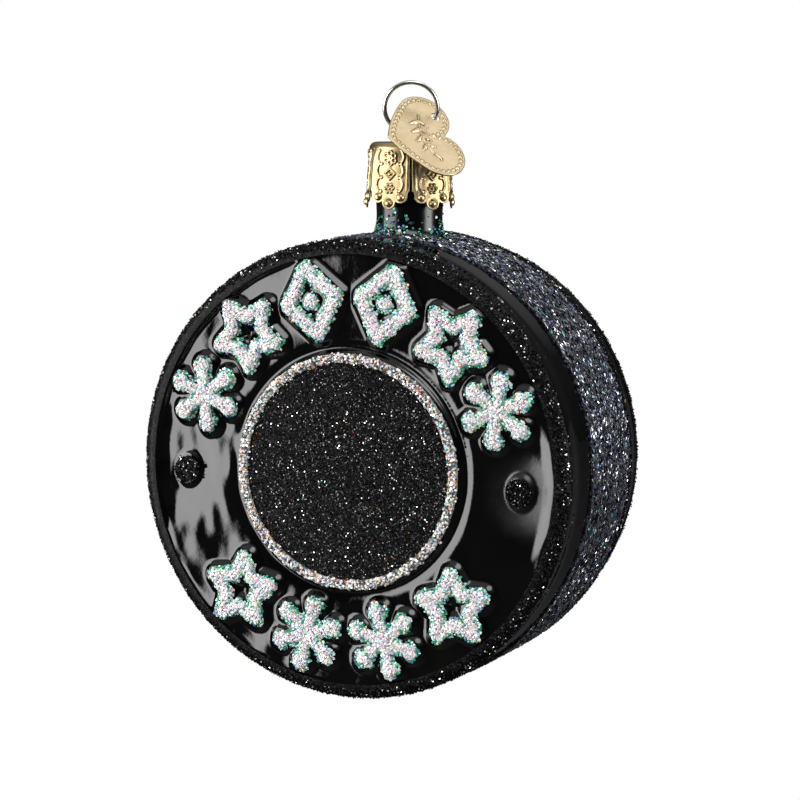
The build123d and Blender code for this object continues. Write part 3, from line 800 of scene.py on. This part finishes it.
# ------------------------------------------------------------------ glass
V1, F1 = lathe_puck()
V2, F2 = lathe_neck()
V = np.vstack([V1, V2])
F = F1 + [tuple(i + len(V1) for i in f) for f in F2]
M_NECK = mat_black_glass("black_lacquered_neck", 0.15, 0.22)
M_NECK.node_tree.nodes["Principled BSDF"].inputs["Specular IOR Level"].default_value = 0.42
glass = new_mesh("blown_glass", V, F, [M_GLASS, M_NECK], [0] * len(F1) + [1] * len(F2))
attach(glass, "ornament")
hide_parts("glass_body")

# ------------------------------------------------------------------ coats kept from the frame
for node, mat in (("disc_glitter", M_BLACK), ("ring_glitter", M_HOLO), ("upper_marks", M_PEARL), ("lower_marks", M_PEARL), ("dot_glitter", M_BLACK), ("rim_glitter", M_BLACK)):
    for side in ("front", "back"):
        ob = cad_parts[f"{node}_{side}"]
        for s in ob.material_slots:
            s.material = mat
for node, mat in (("side_glitter", M_SIDE), ("side_line_glitter", M_BLACK)):
    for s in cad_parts[node].material_slots:
        s.material = mat
for b in (0, 1):
    for w in ("upper", "lower"):
        mark_grains(w, b)
    ring_grains(b)
    disc_grains(b)
    dot_grains(b)
    rim_grains(b)
side_grains()
line_grains()
nf = neck_flakes()
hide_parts("neck_glitter")


# ------------------------------------------------------------------ crown cap
def seg_height(u, v, segs, hw, h):
    out = np.zeros(np.shape(u))
    for x0, y0, x1, y1 in segs:
        dx, dy = x1 - x0, y1 - y0
        t = np.clip(((u - x0) * dx + (v - y0) * dy) / max(dx * dx + dy * dy, 1e-9), 0, 1)
        d = np.hypot(u - x0 - t * dx, v - y0 - t * dy)
        out = np.maximum(out, h * np.sqrt(np.clip(1 - (d / hw) ** 2, 0, 1)))
    return out


def curve(fn, t0, t1, n):
    t = np.linspace(t0, t1, n + 1)
    p = [fn(a) for a in t]
    return [(*p[i], *p[i + 1]) for i in range(n)]


def tab_emboss(u, v, L):
    """Raised scrolls and rosettes. u across (mm from the middle), v down from the cap's top edge (mm)."""
    h = np.zeros(np.shape(u))
    # rosette of six round petals
    for k in range(6):
        a = rad(60 * k + 30)
        h = np.maximum(h, seg_height(u, v, curve(lambda t: (0.80 * math.cos(a) + 0.40 * math.cos(t), 2.55 + 0.80 * math.sin(a) + 0.40 * math.sin(t)), 0, 2 * math.pi, 10), 0.17, 0.24))
    h = np.maximum(h, 0.28 * np.sqrt(np.clip(1 - (np.hypot(u, v - 2.55) / 0.32) ** 2, 0, 1)))
    # lozenge with a bead in it
    h = np.maximum(h, seg_height(u, v, [(0, 4.25, 0.95, 5.15), (0.95, 5.15, 0, 6.05), (0, 6.05, -0.95, 5.15), (-0.95, 5.15, 0, 4.25)], 0.18, 0.25))
    h = np.maximum(h, 0.26 * np.sqrt(np.clip(1 - (np.hypot(u, v - 5.15) / 0.34) ** 2, 0, 1)))
    # cluster of round dots
    for k in range(7):
        a, q = rad(60 * k), (0.68 if k < 6 else 0.0)
        h = np.maximum(h, 0.26 * np.sqrt(np.clip(1 - (np.hypot(u - q * math.cos(a), v - 7.5 - q * math.sin(a)) / 0.29) ** 2, 0, 1)))
    # scalloped frame down both sides
    for s in (-1, 1):
        h = np.maximum(h, seg_height(u, v, curve(lambda t: (s * (2.30 + 0.42 * abs(math.sin(t * 3 * math.pi)) - 0.30), 1.25 + 6.7 * t), 0, 1, 36), 0.18, 0.22))
        for k in range(3):
            h = np.maximum(h, seg_height(u, v, curve(lambda t: (s * (1.62 + 0.26 * (1 - t * 0.6) * math.cos(t * 5.0)), 3.45 + 2.25 * k + 0.26 * (1 - t * 0.6) * math.sin(t * 5.0)), 0, 1, 10), 0.13, 0.18))
        h = np.maximum(h, seg_height(u, v, [(s * 3.02, 1.6, s * 3.12, L - 3.2)], 0.13, 0.12))
    # row of fine dots under the shoulder
    for k in range(9):
        h = np.maximum(h, 0.13 * np.sqrt(np.clip(1 - (np.hypot(u - (k - 4) * 0.68, v - 0.95) / 0.22) ** 2, 0, 1)))
    return h


def build_cap():
    R0, RF, SH, H, HOLE, T = 6.80, 7.45, 1.10, 10.9, 1.30, 0.30
    nu, nv, gap = 62, 100, 2
    cols = []    # (tab index or -1, fraction across)
    for k in range(6):
        for i in range(nu + 1):
            cols.append((k, i / nu))
        for i in range(1, gap):
            cols.append((-1 - k, i / gap))
    ncol = len(cols)

    def width(z):
        """Half the slit's angle at depth z."""
        w = 0.26 + (0.62 - 0.26) * max(0.0, (z - SH) / (H - SH))
        r = R0 + (RF - R0) * max(0.0, (z - SH) / (H - SH))
        return w / 2 / r

    pitch = 2 * math.pi / 6

    def col_angle(c, z):
        k, f = c
        w = width(z)
        if k >= 0:
            return rad(TURN - 90) + pitch * k + w + (pitch - 2 * w) * f
        k = -1 - k
        return rad(TURN - 90) + pitch * (k + 1) - w + 2 * w * f

    V, E = [], []
    rows = []

    def add_row(pts, em):
        rows.append(len(V))
        V.extend(pts)
        E.extend(em)

    # top disc with its hole, then the rounded shoulder
    rings = [(HOLE, 0.10), (HOLE + 0.12, 0.02), (HOLE + 0.3, 0.0)] + [(r, 0.0) for r in np.linspace(HOLE + 0.6, R0 - SH, 12)]
    rings += [(R0 - SH + SH * math.sin(rad(a)), SH - SH * math.cos(rad(a))) for a in np.linspace(0, 90, 10)[1:]]
    for r, z in rings:
        row, em = [], []
        for c in cols:
            a = col_angle(c, SH)
            dz = 0.0
            if r < R0 - SH:      # shallow pressed rings on the top
                dz = 0.05 * math.cos((r - 3.4) * 3.2) * smoothstep(1.6, 2.4, r)
            row.append((AX + r * math.cos(a), CY + r * math.sin(a), CAP_Z - z + float(dz) - 0.05 * (r < R0 - SH)))
            # painted shade: the top and shoulder get a fixed shade value of 0.75
            em.append(0.75)
        add_row(row, em)
    faces = []
    for q in range(len(rows) - 1):
        for i in range(ncol):
            j = (i + 1) % ncol
            faces.append((rows[q] + i, rows[q + 1] + i, rows[q + 1] + j, rows[q] + j))
    shoulder = rows[-1]
    # the six tabs
    BEADS = ((-2.08, H - 2.00), (2.08, H - 2.00), (0.0, H - 1.02))

    def foot(f):
        """Length of the tab at fraction f across: three scallops, one under each bead."""
        u = (f - 0.5) * 7.1
        s = H - 2.5 - 1.1 * max(0.0, abs(u) - 3.1)
        for ub, zb in BEADS:
            t = (u - ub) / 1.16
            if abs(t) < 1:
                s = max(s, zb + 0.98 * math.sqrt(1 - t * t))
        return s

    for k in range(6):
        g = np.random.default_rng(900 + k)
        flare = [0.25, -0.15, 0.05, 0.30, 0.0, 0.12][k]
        f = np.arange(nu + 1) / nu
        L = np.array([foot(x) for x in f])
        base = len(V)
        grid = np.zeros((nv + 1, nu + 1, 3))
        em = np.zeros((nv + 1, nu + 1))
        for j in range(nv + 1):
            t = j / nv
            z = SH + (L - SH) * t
            ang = np.array([col_angle((k, x), float(zz)) for x, zz in zip(f, z)])
            r = R0 + (RF - R0 + flare) * np.clip((z - SH) / (H - SH), 0, 1) ** 1.15
            # each tab is a little flatter than the round it came from
            mid = rad(TURN - 90) + pitch * (k + 0.5)
            fl = 0.45 * (1 - np.cos(ang - mid)) * r * smoothstep(SH, SH + 3, z)
            u = (ang - mid) * r
            h = tab_emboss(u, z, H)
            for bx, bz in BEADS:
                d = np.hypot(u - bx, z - bz)
                h = np.maximum(h, 0.50 * np.sqrt(np.clip(1 - (d / 0.64) ** 2, 0, 1)))
                h = h - 0.07 * np.exp(-(((d - 0.78) / 0.12) ** 2))
            h = h * smoothstep(0.02, 0.12, f) * smoothstep(0.02, 0.12, 1 - f) + 0.015 * waves(31 + k, 8, 1.5, 4)(u, z)
            r2 = r * (1 + 0.60 * (1 / np.cos(ang - mid) - 1.045) * smoothstep(SH - 0.3, SH + 2.6, z)) + h
            grid[j] = np.stack([AX + r2 * np.cos(ang), CY + r2 * np.sin(ang), CAP_Z - z], 1)
            em[j] = h
        col0 = k * (nu + gap)
        # painted shade: the shade value rises from 0.38 on each tab's flats to full on relief 0.24 mm high, so the gold
        # is painted darker on the flats and in the grooves round the beads
        for j in range(1, nv + 1):
            for i in range(nu + 1):
                V.append(tuple(grid[j, i]))
                E.append(float(np.clip(0.38 + em[j, i] / 0.24, 0, 1)))
        for i in range(nu):
            faces.append((shoulder + col0 + i, base + i, base + i + 1, shoulder + col0 + i + 1))
        for j in range(nv - 1):
            o = base + j * (nu + 1)
            for i in range(nu):
                faces.append((o + i, o + nu + 1 + i, o + nu + 2 + i, o + i + 1))
    ob = new_mesh("stamped_cap", V, faces, [mat_gold("champagne_gold_cap", (0.39, 0.29, 0.145), (0.61, 0.475, 0.265), (0.26, 0.40), 0.36)])
    at = ob.data.attributes.new("relief_painted_shade", "FLOAT", "POINT")
    at.data.foreach_set("value", np.array(E, np.float32))
    sol = ob.modifiers.new("sheet", "SOLIDIFY")
    sol.thickness = T * MM * 0.9
    sol.offset = -1.0
    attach(ob, "cap")
    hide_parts("cap_shell")
    return ob


build_cap()

# ------------------------------------------------------------------ hanger wire: the frame's own piece
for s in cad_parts["hanger_wire"].material_slots:
    s.material = mat_steel()


# ------------------------------------------------------------------ heart tag
def build_tag():
    a_, rl, hc, phi = 3.90, 4.58, 8.15, -0.755
    hx, hy, hr = -4.10, 2.33, 0.82
    U = np.array([math.cos(rad(TURN)), math.sin(rad(TURN)), 0])
    N = np.array([math.sin(rad(TURN)), -math.cos(rad(TURN)), 0])
    Zv = np.array([0, 0, 1.0])
    Lv = N * math.sin(rad(LEAN)) + Zv * math.cos(rad(LEAN))
    ring_mid = -Lv * (4.36 - 0.35)
    ha = rad(-22.5)
    hole = ring_mid + U * 4.36 * math.cos(ha) + Lv * 4.36 * math.sin(ha)
    hd = np.array([math.sin(rad(52.4)), -math.cos(rad(52.4)), 0])
    n = hd * math.cos(rad(42)) + Zv * math.sin(rad(42))
    ex = hd * math.sin(rad(42)) - Zv * math.cos(rad(42))
    ey = np.array([math.cos(rad(52.4)), math.sin(rad(52.4)), 0])
    org = hole - ex * hx - ey * hy
    ny = math.sqrt(rl * rl - a_ * a_)
    d = (math.cos(phi), math.sin(phi))
    T = (a_ + rl * d[0], rl * d[1])
    w = (T[0], T[1] + hc)
    R = (w[0] ** 2 + w[1] ** 2) / (2 * (w[0] * d[0] + w[1] * d[1]))
    C = (T[0] - R * d[0], T[1] - R * d[1])
    a1 = math.atan2(-hc - C[1], -C[0])

    def outline(off):
        """Half outlines of the heart, drawn in by off, as points."""
        r1, r2 = rl - off, R - off
        nyy = math.sqrt(max(r1 * r1 - a_ * a_, 0.01))
        t0 = math.atan2(nyy, -a_)
        P = [(a_ + r1 * math.cos(t), r1 * math.sin(t)) for t in np.linspace(t0, phi, 60)]
        # side arc down to the middle line
        ce = math.atan2(-math.sqrt(max(r2 * r2 - C[0] ** 2, 0)), -C[0])
        P += [(C[0] + r2 * math.cos(t), C[1] + r2 * math.sin(t)) for t in np.linspace(phi, ce, 40)[1:]]
        right = [p for p in P if p[0] >= -1e-6]
        left = [(-x, y) for x, y in right[::-1]]
        return right + left[1:-1]

    rim = outline(0.0)
    npx = len(rim)
    hol = [(hx + hr * math.cos(t), hy + hr * math.sin(t)) for t in np.linspace(0, 2 * math.pi, 48, endpoint=False)]
    hol2 = [(hx + (hr + 0.12) * math.cos(t), hy + (hr + 0.12) * math.sin(t)) for t in np.linspace(0, 2 * math.pi, 48, endpoint=False)]
    s = 0.125
    gx, gy = np.meshgrid(np.arange(-9, 9, s), np.arange(-8.5, 5, s * 0.866))
    gx = gx + (np.arange(gx.shape[0])[:, None] % 2) * s / 2
    q = np.stack([gx.ravel(), gy.ravel()], 1)

    def inside(pts, poly):
        r = np.zeros(len(pts), bool)
        for i in range(len(poly)):
            x0, y0 = poly[i]
            x1, y1 = poly[(i + 1) % len(poly)]
            c = ((y0 > pts[:, 1]) != (y1 > pts[:, 1])) & (pts[:, 0] < (x1 - x0) * (pts[:, 1] - y0) / (y1 - y0 + 1e-12) + x0)
            r ^= c
        return r

    inner = outline(0.10)
    q = q[inside(q, inner)]
    q = q[np.hypot(q[:, 0] - hx, q[:, 1] - hy) > hr + 0.2]
    pts = [Vector(p) for p in rim] + [Vector(p) for p in hol] + [Vector(p) for p in hol2] + [Vector(p) for p in q]
    edges = [(i, (i + 1) % npx) for i in range(npx)] + [(npx + i, npx + (i + 1) % 48) for i in range(48)]
    vs, es, fs, *_ = geometry.delaunay_2d_cdt(pts, edges, [], 0, 1e-5)
    vs = np.array([(v.x, v.y) for v in vs])
    cen = np.array([vs[list(f)].mean(0) for f in fs])
    ok = inside(cen, rim) & (np.hypot(cen[:, 0] - hx, cen[:, 1] - hy) > hr * 0.985)
    keep = [tuple(f) for f, k in zip(fs, ok) if k]
    X, Y = vs[:, 0], vs[:, 1]
    h = np.zeros(len(vs))
    # dotted border
    # painted shade: thin rings just outside every border dot and raised stroke, where the gold is painted darker
    outline_painted_shade = np.zeros(len(vs))
    b = np.array(outline(0.80))
    bl = np.vstack([b, b[:1]])
    sl = np.concatenate([[0], np.cumsum(np.hypot(*np.diff(bl, axis=0).T))])
    cnt = int(sl[-1] / 0.98)
    for k in range(cnt):
        t = (k + 0.5) * sl[-1] / cnt
        cxp, cyp = np.interp(t, sl, bl[:, 0]), np.interp(t, sl, bl[:, 1])
        if math.hypot(cxp - hx, cyp - hy) < hr + 0.45:
            continue
        dd = np.hypot(X - cxp, Y - cyp)
        h = np.maximum(h, 0.20 * np.sqrt(np.clip(1 - (dd / 0.33) ** 2, 0, 1)))
        outline_painted_shade = np.maximum(outline_painted_shade, np.clip(1 - np.abs(dd - 0.40) / 0.13, 0, 1))
    # a sprig: one bent stem with paired leaves
    def stem(t):
        return (-4.3 + 8.4 * t, -0.9 - 1.5 * math.sin(t * 2.6) + 0.9 * t)

    def raise_by(h, outline_painted_shade, segs, hw, top):
        h = np.maximum(h, seg_height(X, Y, segs, hw, top))
        # painted shade ring just outside the raised stroke
        ring = (seg_height(X, Y, segs, hw + 0.20, 1.0) > 0.1) * (1.0 - (seg_height(X, Y, segs, hw, 1.0) > 0))
        return h, np.maximum(outline_painted_shade, ring)

    h, outline_painted_shade = raise_by(h, outline_painted_shade, curve(stem, 0, 1, 24), 0.20, 0.22)
    for k, t in enumerate((0.14, 0.34, 0.54, 0.74)):
        x0, y0 = stem(t)
        x1, y1 = stem(t + 0.02)
        base = math.atan2(y1 - y0, x1 - x0)
        for sg in (-1, 1):
            a = base + sg * rad(58)
            ln = 1.75 - 0.12 * k
            mx, my = x0 + 0.56 * ln * math.cos(a), y0 + 0.56 * ln * math.sin(a)
            leaf = [(x0 + 0.3 * math.cos(a), y0 + 0.3 * math.sin(a), mx, my)]
            h, outline_painted_shade = raise_by(h, outline_painted_shade, leaf, 0.36, 0.30)
            h, outline_painted_shade = raise_by(h, outline_painted_shade, [(mx, my, x0 + ln * math.cos(a), y0 + ln * math.sin(a))], 0.22, 0.24)
    x0, y0 = stem(1.0)
    h, outline_painted_shade = raise_by(h, outline_painted_shade, [(x0, y0, x0 + 0.9, y0 + 0.55)], 0.34, 0.30)
    bow = 0.0035 * (X ** 2) * 0.5 + 0.02 * waves(61, 8, 3, 7)(X, Y)
    hh = h + bow
    P = org[None, :] + X[:, None] * ex + Y[:, None] * ey + (hh + 0.15)[:, None] * n
    ob = new_mesh("heart_tag", P, keep, [mat_gold("matte_gold_tag", (0.54, 0.42, 0.25), (0.68, 0.55, 0.35), (0.28, 0.44), 0.50)])
    # face all polygons along the tag's outward side
    me = ob.data
    flip = [p.index for p in me.polygons if (p.normal.x * n[0] + p.normal.y * n[1] + p.normal.z * n[2]) < 0]
    if len(flip) > len(me.polygons) / 2:
        me.flip_normals()
    # painted shade: the gold is painted darker on the flats and darkest in the rings round the relief, brighter on the
    # raised relief
    at = me.attributes.new("relief_painted_shade", "FLOAT", "POINT")
    at.data.foreach_set("value", np.clip(0.66 + h / 0.5 - 0.50 * outline_painted_shade, 0, 1).astype(np.float32))
    sol = ob.modifiers.new("sheet", "SOLIDIFY")
    sol.thickness = 0.30 * MM
    sol.offset = -1.0
    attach(ob, "tag")
    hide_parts("tag")
    return ob


build_tag()

# ------------------------------------------------------------------ stage, light, camera
PC = Vector((CX * MM, CY * MM, CZ * MM))


def stage_floor():
    nr, na = 24, 96
    V, F = [(0.0, 0.0, 0.0)], []
    for i in range(1, nr + 1):
        r = 2600.0 * (i / nr) ** 2
        for j in range(na):
            a = 2 * math.pi * j / na
            V.append((r * math.cos(a), r * math.sin(a), 0.6 * (i / nr) ** 6 * 1000))
    for j in range(na):
        F.append((0, 1 + j, 1 + (j + 1) % na))
    for i in range(nr - 1):
        for j in range(na):
            a, b = 1 + i * na + j, 1 + i * na + (j + 1) % na
            F.append((a, a + na, b + na, b))
    V = np.array(V) + np.array([CX, CY, -640.0])
    m, nt, p = principled("pale_floor")
    n, src = object_noise(nt, 3, 3)
    r = ramp(nt, n.outputs["Fac"], [(0.3, (0.07, 0.07, 0.07)), (0.7, (0.09, 0.09, 0.09))])
    nt.links.new(r.outputs["Color"], p.inputs["Base Color"])
    p.inputs["Roughness"].default_value = 0.9
    em = nt.nodes.new("ShaderNodeEmission")
    em.inputs["Color"].default_value = (1, 1, 1, 1)
    em.inputs["Strength"].default_value = 1.0
    lp = nt.nodes.new("ShaderNodeLightPath")
    mx = nt.nodes.new("ShaderNodeMixShader")
    out = nt.nodes["Material Output"]
    nt.links.new(lp.outputs["Is Camera Ray"], mx.inputs["Fac"])
    nt.links.new(p.outputs["BSDF"], mx.inputs[1])
    nt.links.new(em.outputs["Emission"], mx.inputs[2])
    nt.links.new(mx.outputs["Shader"], out.inputs["Surface"])
    ob = new_mesh("floor", V, F, [m])


stage_floor()

world = bpy.data.worlds.new("studio")
bpy.context.scene.world = world
world.use_nodes = True
nt = world.node_tree
bg = nt.nodes["Background"]
bg.inputs["Color"].default_value = (1, 1, 1, 1)
bg.inputs["Strength"].default_value = 1.0
tc = nt.nodes.new("ShaderNodeTexCoord")
sxyz = nt.nodes.new("ShaderNodeSeparateXYZ")
nt.links.new(tc.outputs["Generated"], sxyz.inputs["Vector"])
sky = ramp(nt, sxyz.outputs["Z"], [(0.0, (0.020, 0.020, 0.020)), (0.35, (0.045, 0.045, 0.045)), (0.72, (0.55, 0.55, 0.54)), (1.0, (0.75, 0.75, 0.74))])
nt.links.new(sky.outputs["Color"], bg.inputs["Color"])
bg2 = nt.nodes.new("ShaderNodeBackground")
bg2.inputs["Color"].default_value = (1, 1, 1, 1)
bg2.inputs["Strength"].default_value = 1.0
lp = nt.nodes.new("ShaderNodeLightPath")
mx = nt.nodes.new("ShaderNodeMixShader")
nt.links.new(lp.outputs["Is Camera Ray"], mx.inputs["Fac"])
nt.links.new(bg.outputs["Background"], mx.inputs[1])
nt.links.new(bg2.outputs["Background"], mx.inputs[2])
nt.links.new(mx.outputs["Shader"], nt.nodes["World Output"].inputs["Surface"])


def softbox(name, azimuth, elevation, dist, w, h, radiance, soft=0.12, target=(0, 0, 0)):
    """A soft panel. Azimuth 0 is in front of the face, positive to its right."""
    d = Vector((math.sin(rad(azimuth)) * math.cos(rad(elevation)), -math.cos(rad(azimuth)) * math.cos(rad(elevation)), math.sin(rad(elevation))))
    li = bpy.data.lights.new(name, "AREA")
    li.shape = "RECTANGLE"
    li.size, li.size_y = w, h
    li.energy = radiance * math.pi * w * h
    li.use_nodes = True
    nt = li.node_tree
    em = nt.nodes["Emission"]
    geo = nt.nodes.new("ShaderNodeNewGeometry")
    sep = nt.nodes.new("ShaderNodeSeparateXYZ")
    nt.links.new(geo.outputs["Parametric"], sep.inputs["Vector"])
    edge = None
    for axis in ("X", "Y"):
        off = nt.nodes.new("ShaderNodeMath")
        off.operation = "SUBTRACT"
        nt.links.new(sep.outputs[axis], off.inputs[0])
        off.inputs[1].default_value = 0.5
        ab = nt.nodes.new("ShaderNodeMath")
        ab.operation = "ABSOLUTE"
        nt.links.new(off.outputs[0], ab.inputs[0])
        mr = nt.nodes.new("ShaderNodeMapRange")
        mr.interpolation_type = "SMOOTHSTEP"
        for k, v in zip(("From Min", "From Max", "To Min", "To Max"), (0.5 - soft, 0.5, 1.0, 0.0)):
            mr.inputs[k].default_value = v
        nt.links.new(ab.outputs[0], mr.inputs["Value"])
        if edge is None:
            edge = mr.outputs["Result"]
        else:
            mu = nt.nodes.new("ShaderNodeMath")
            mu.operation = "MULTIPLY"
            nt.links.new(edge, mu.inputs[0])
            nt.links.new(mr.outputs["Result"], mu.inputs[1])
            edge = mu.outputs[0]
    nt.links.new(edge, em.inputs["Strength"])
    ob = bpy.data.objects.new(name, li)
    bpy.context.scene.collection.objects.link(ob)
    tg = PC + Vector(target)
    ob.location = tg + d * dist
    ob.rotation_euler = (tg - ob.location).to_track_quat("-Z", "Y").to_euler()
    return ob


softbox("left_panel", -51.2, 4, 0.70, 0.72, 0.75, 6.6, 0.14)
softbox("right_panel", 93, 4, 0.70, 0.50, 0.66, 8.6, 0.35)
softbox("top_panel", 112, 60, 0.75, 0.80, 0.70, 1.10, 0.25)
softbox("front_panel", 34, 48, 0.80, 0.56, 0.46, 5.0, 0.25)

cam = bpy.data.cameras.new("camera")
cam.sensor_width = 36
cam.lens = 2676.53 / 800 * 36
cam.clip_start = 0.01
cam.clip_end = 20
cam.dof.use_dof = False
co = bpy.data.objects.new("camera", cam)
bpy.context.scene.collection.objects.link(co)
az, el, ro = rad(22.555), rad(6.568), rad(0.645)
back = Vector((math.sin(az) * math.cos(el), -math.cos(az) * math.cos(el), math.sin(el)))
right = Vector((math.cos(az), math.sin(az), 0))
up = back.cross(right)
r2 = right * math.cos(ro) + up * math.sin(ro)
u2 = up * math.cos(ro) - right * math.sin(ro)
loc = PC + Vector((171.625, -412.853, 60.921)) * MM
co.matrix_world = Matrix((
    (r2.x, u2.x, back.x, loc.x),
    (r2.y, u2.y, back.y, loc.y),
    (r2.z, u2.z, back.z, loc.z),
    (0, 0, 0, 1),
))
bpy.context.scene.camera = co
bpy.context.scene.view_settings.view_transform = "Standard"
bpy.context.scene.view_settings.look = "None"
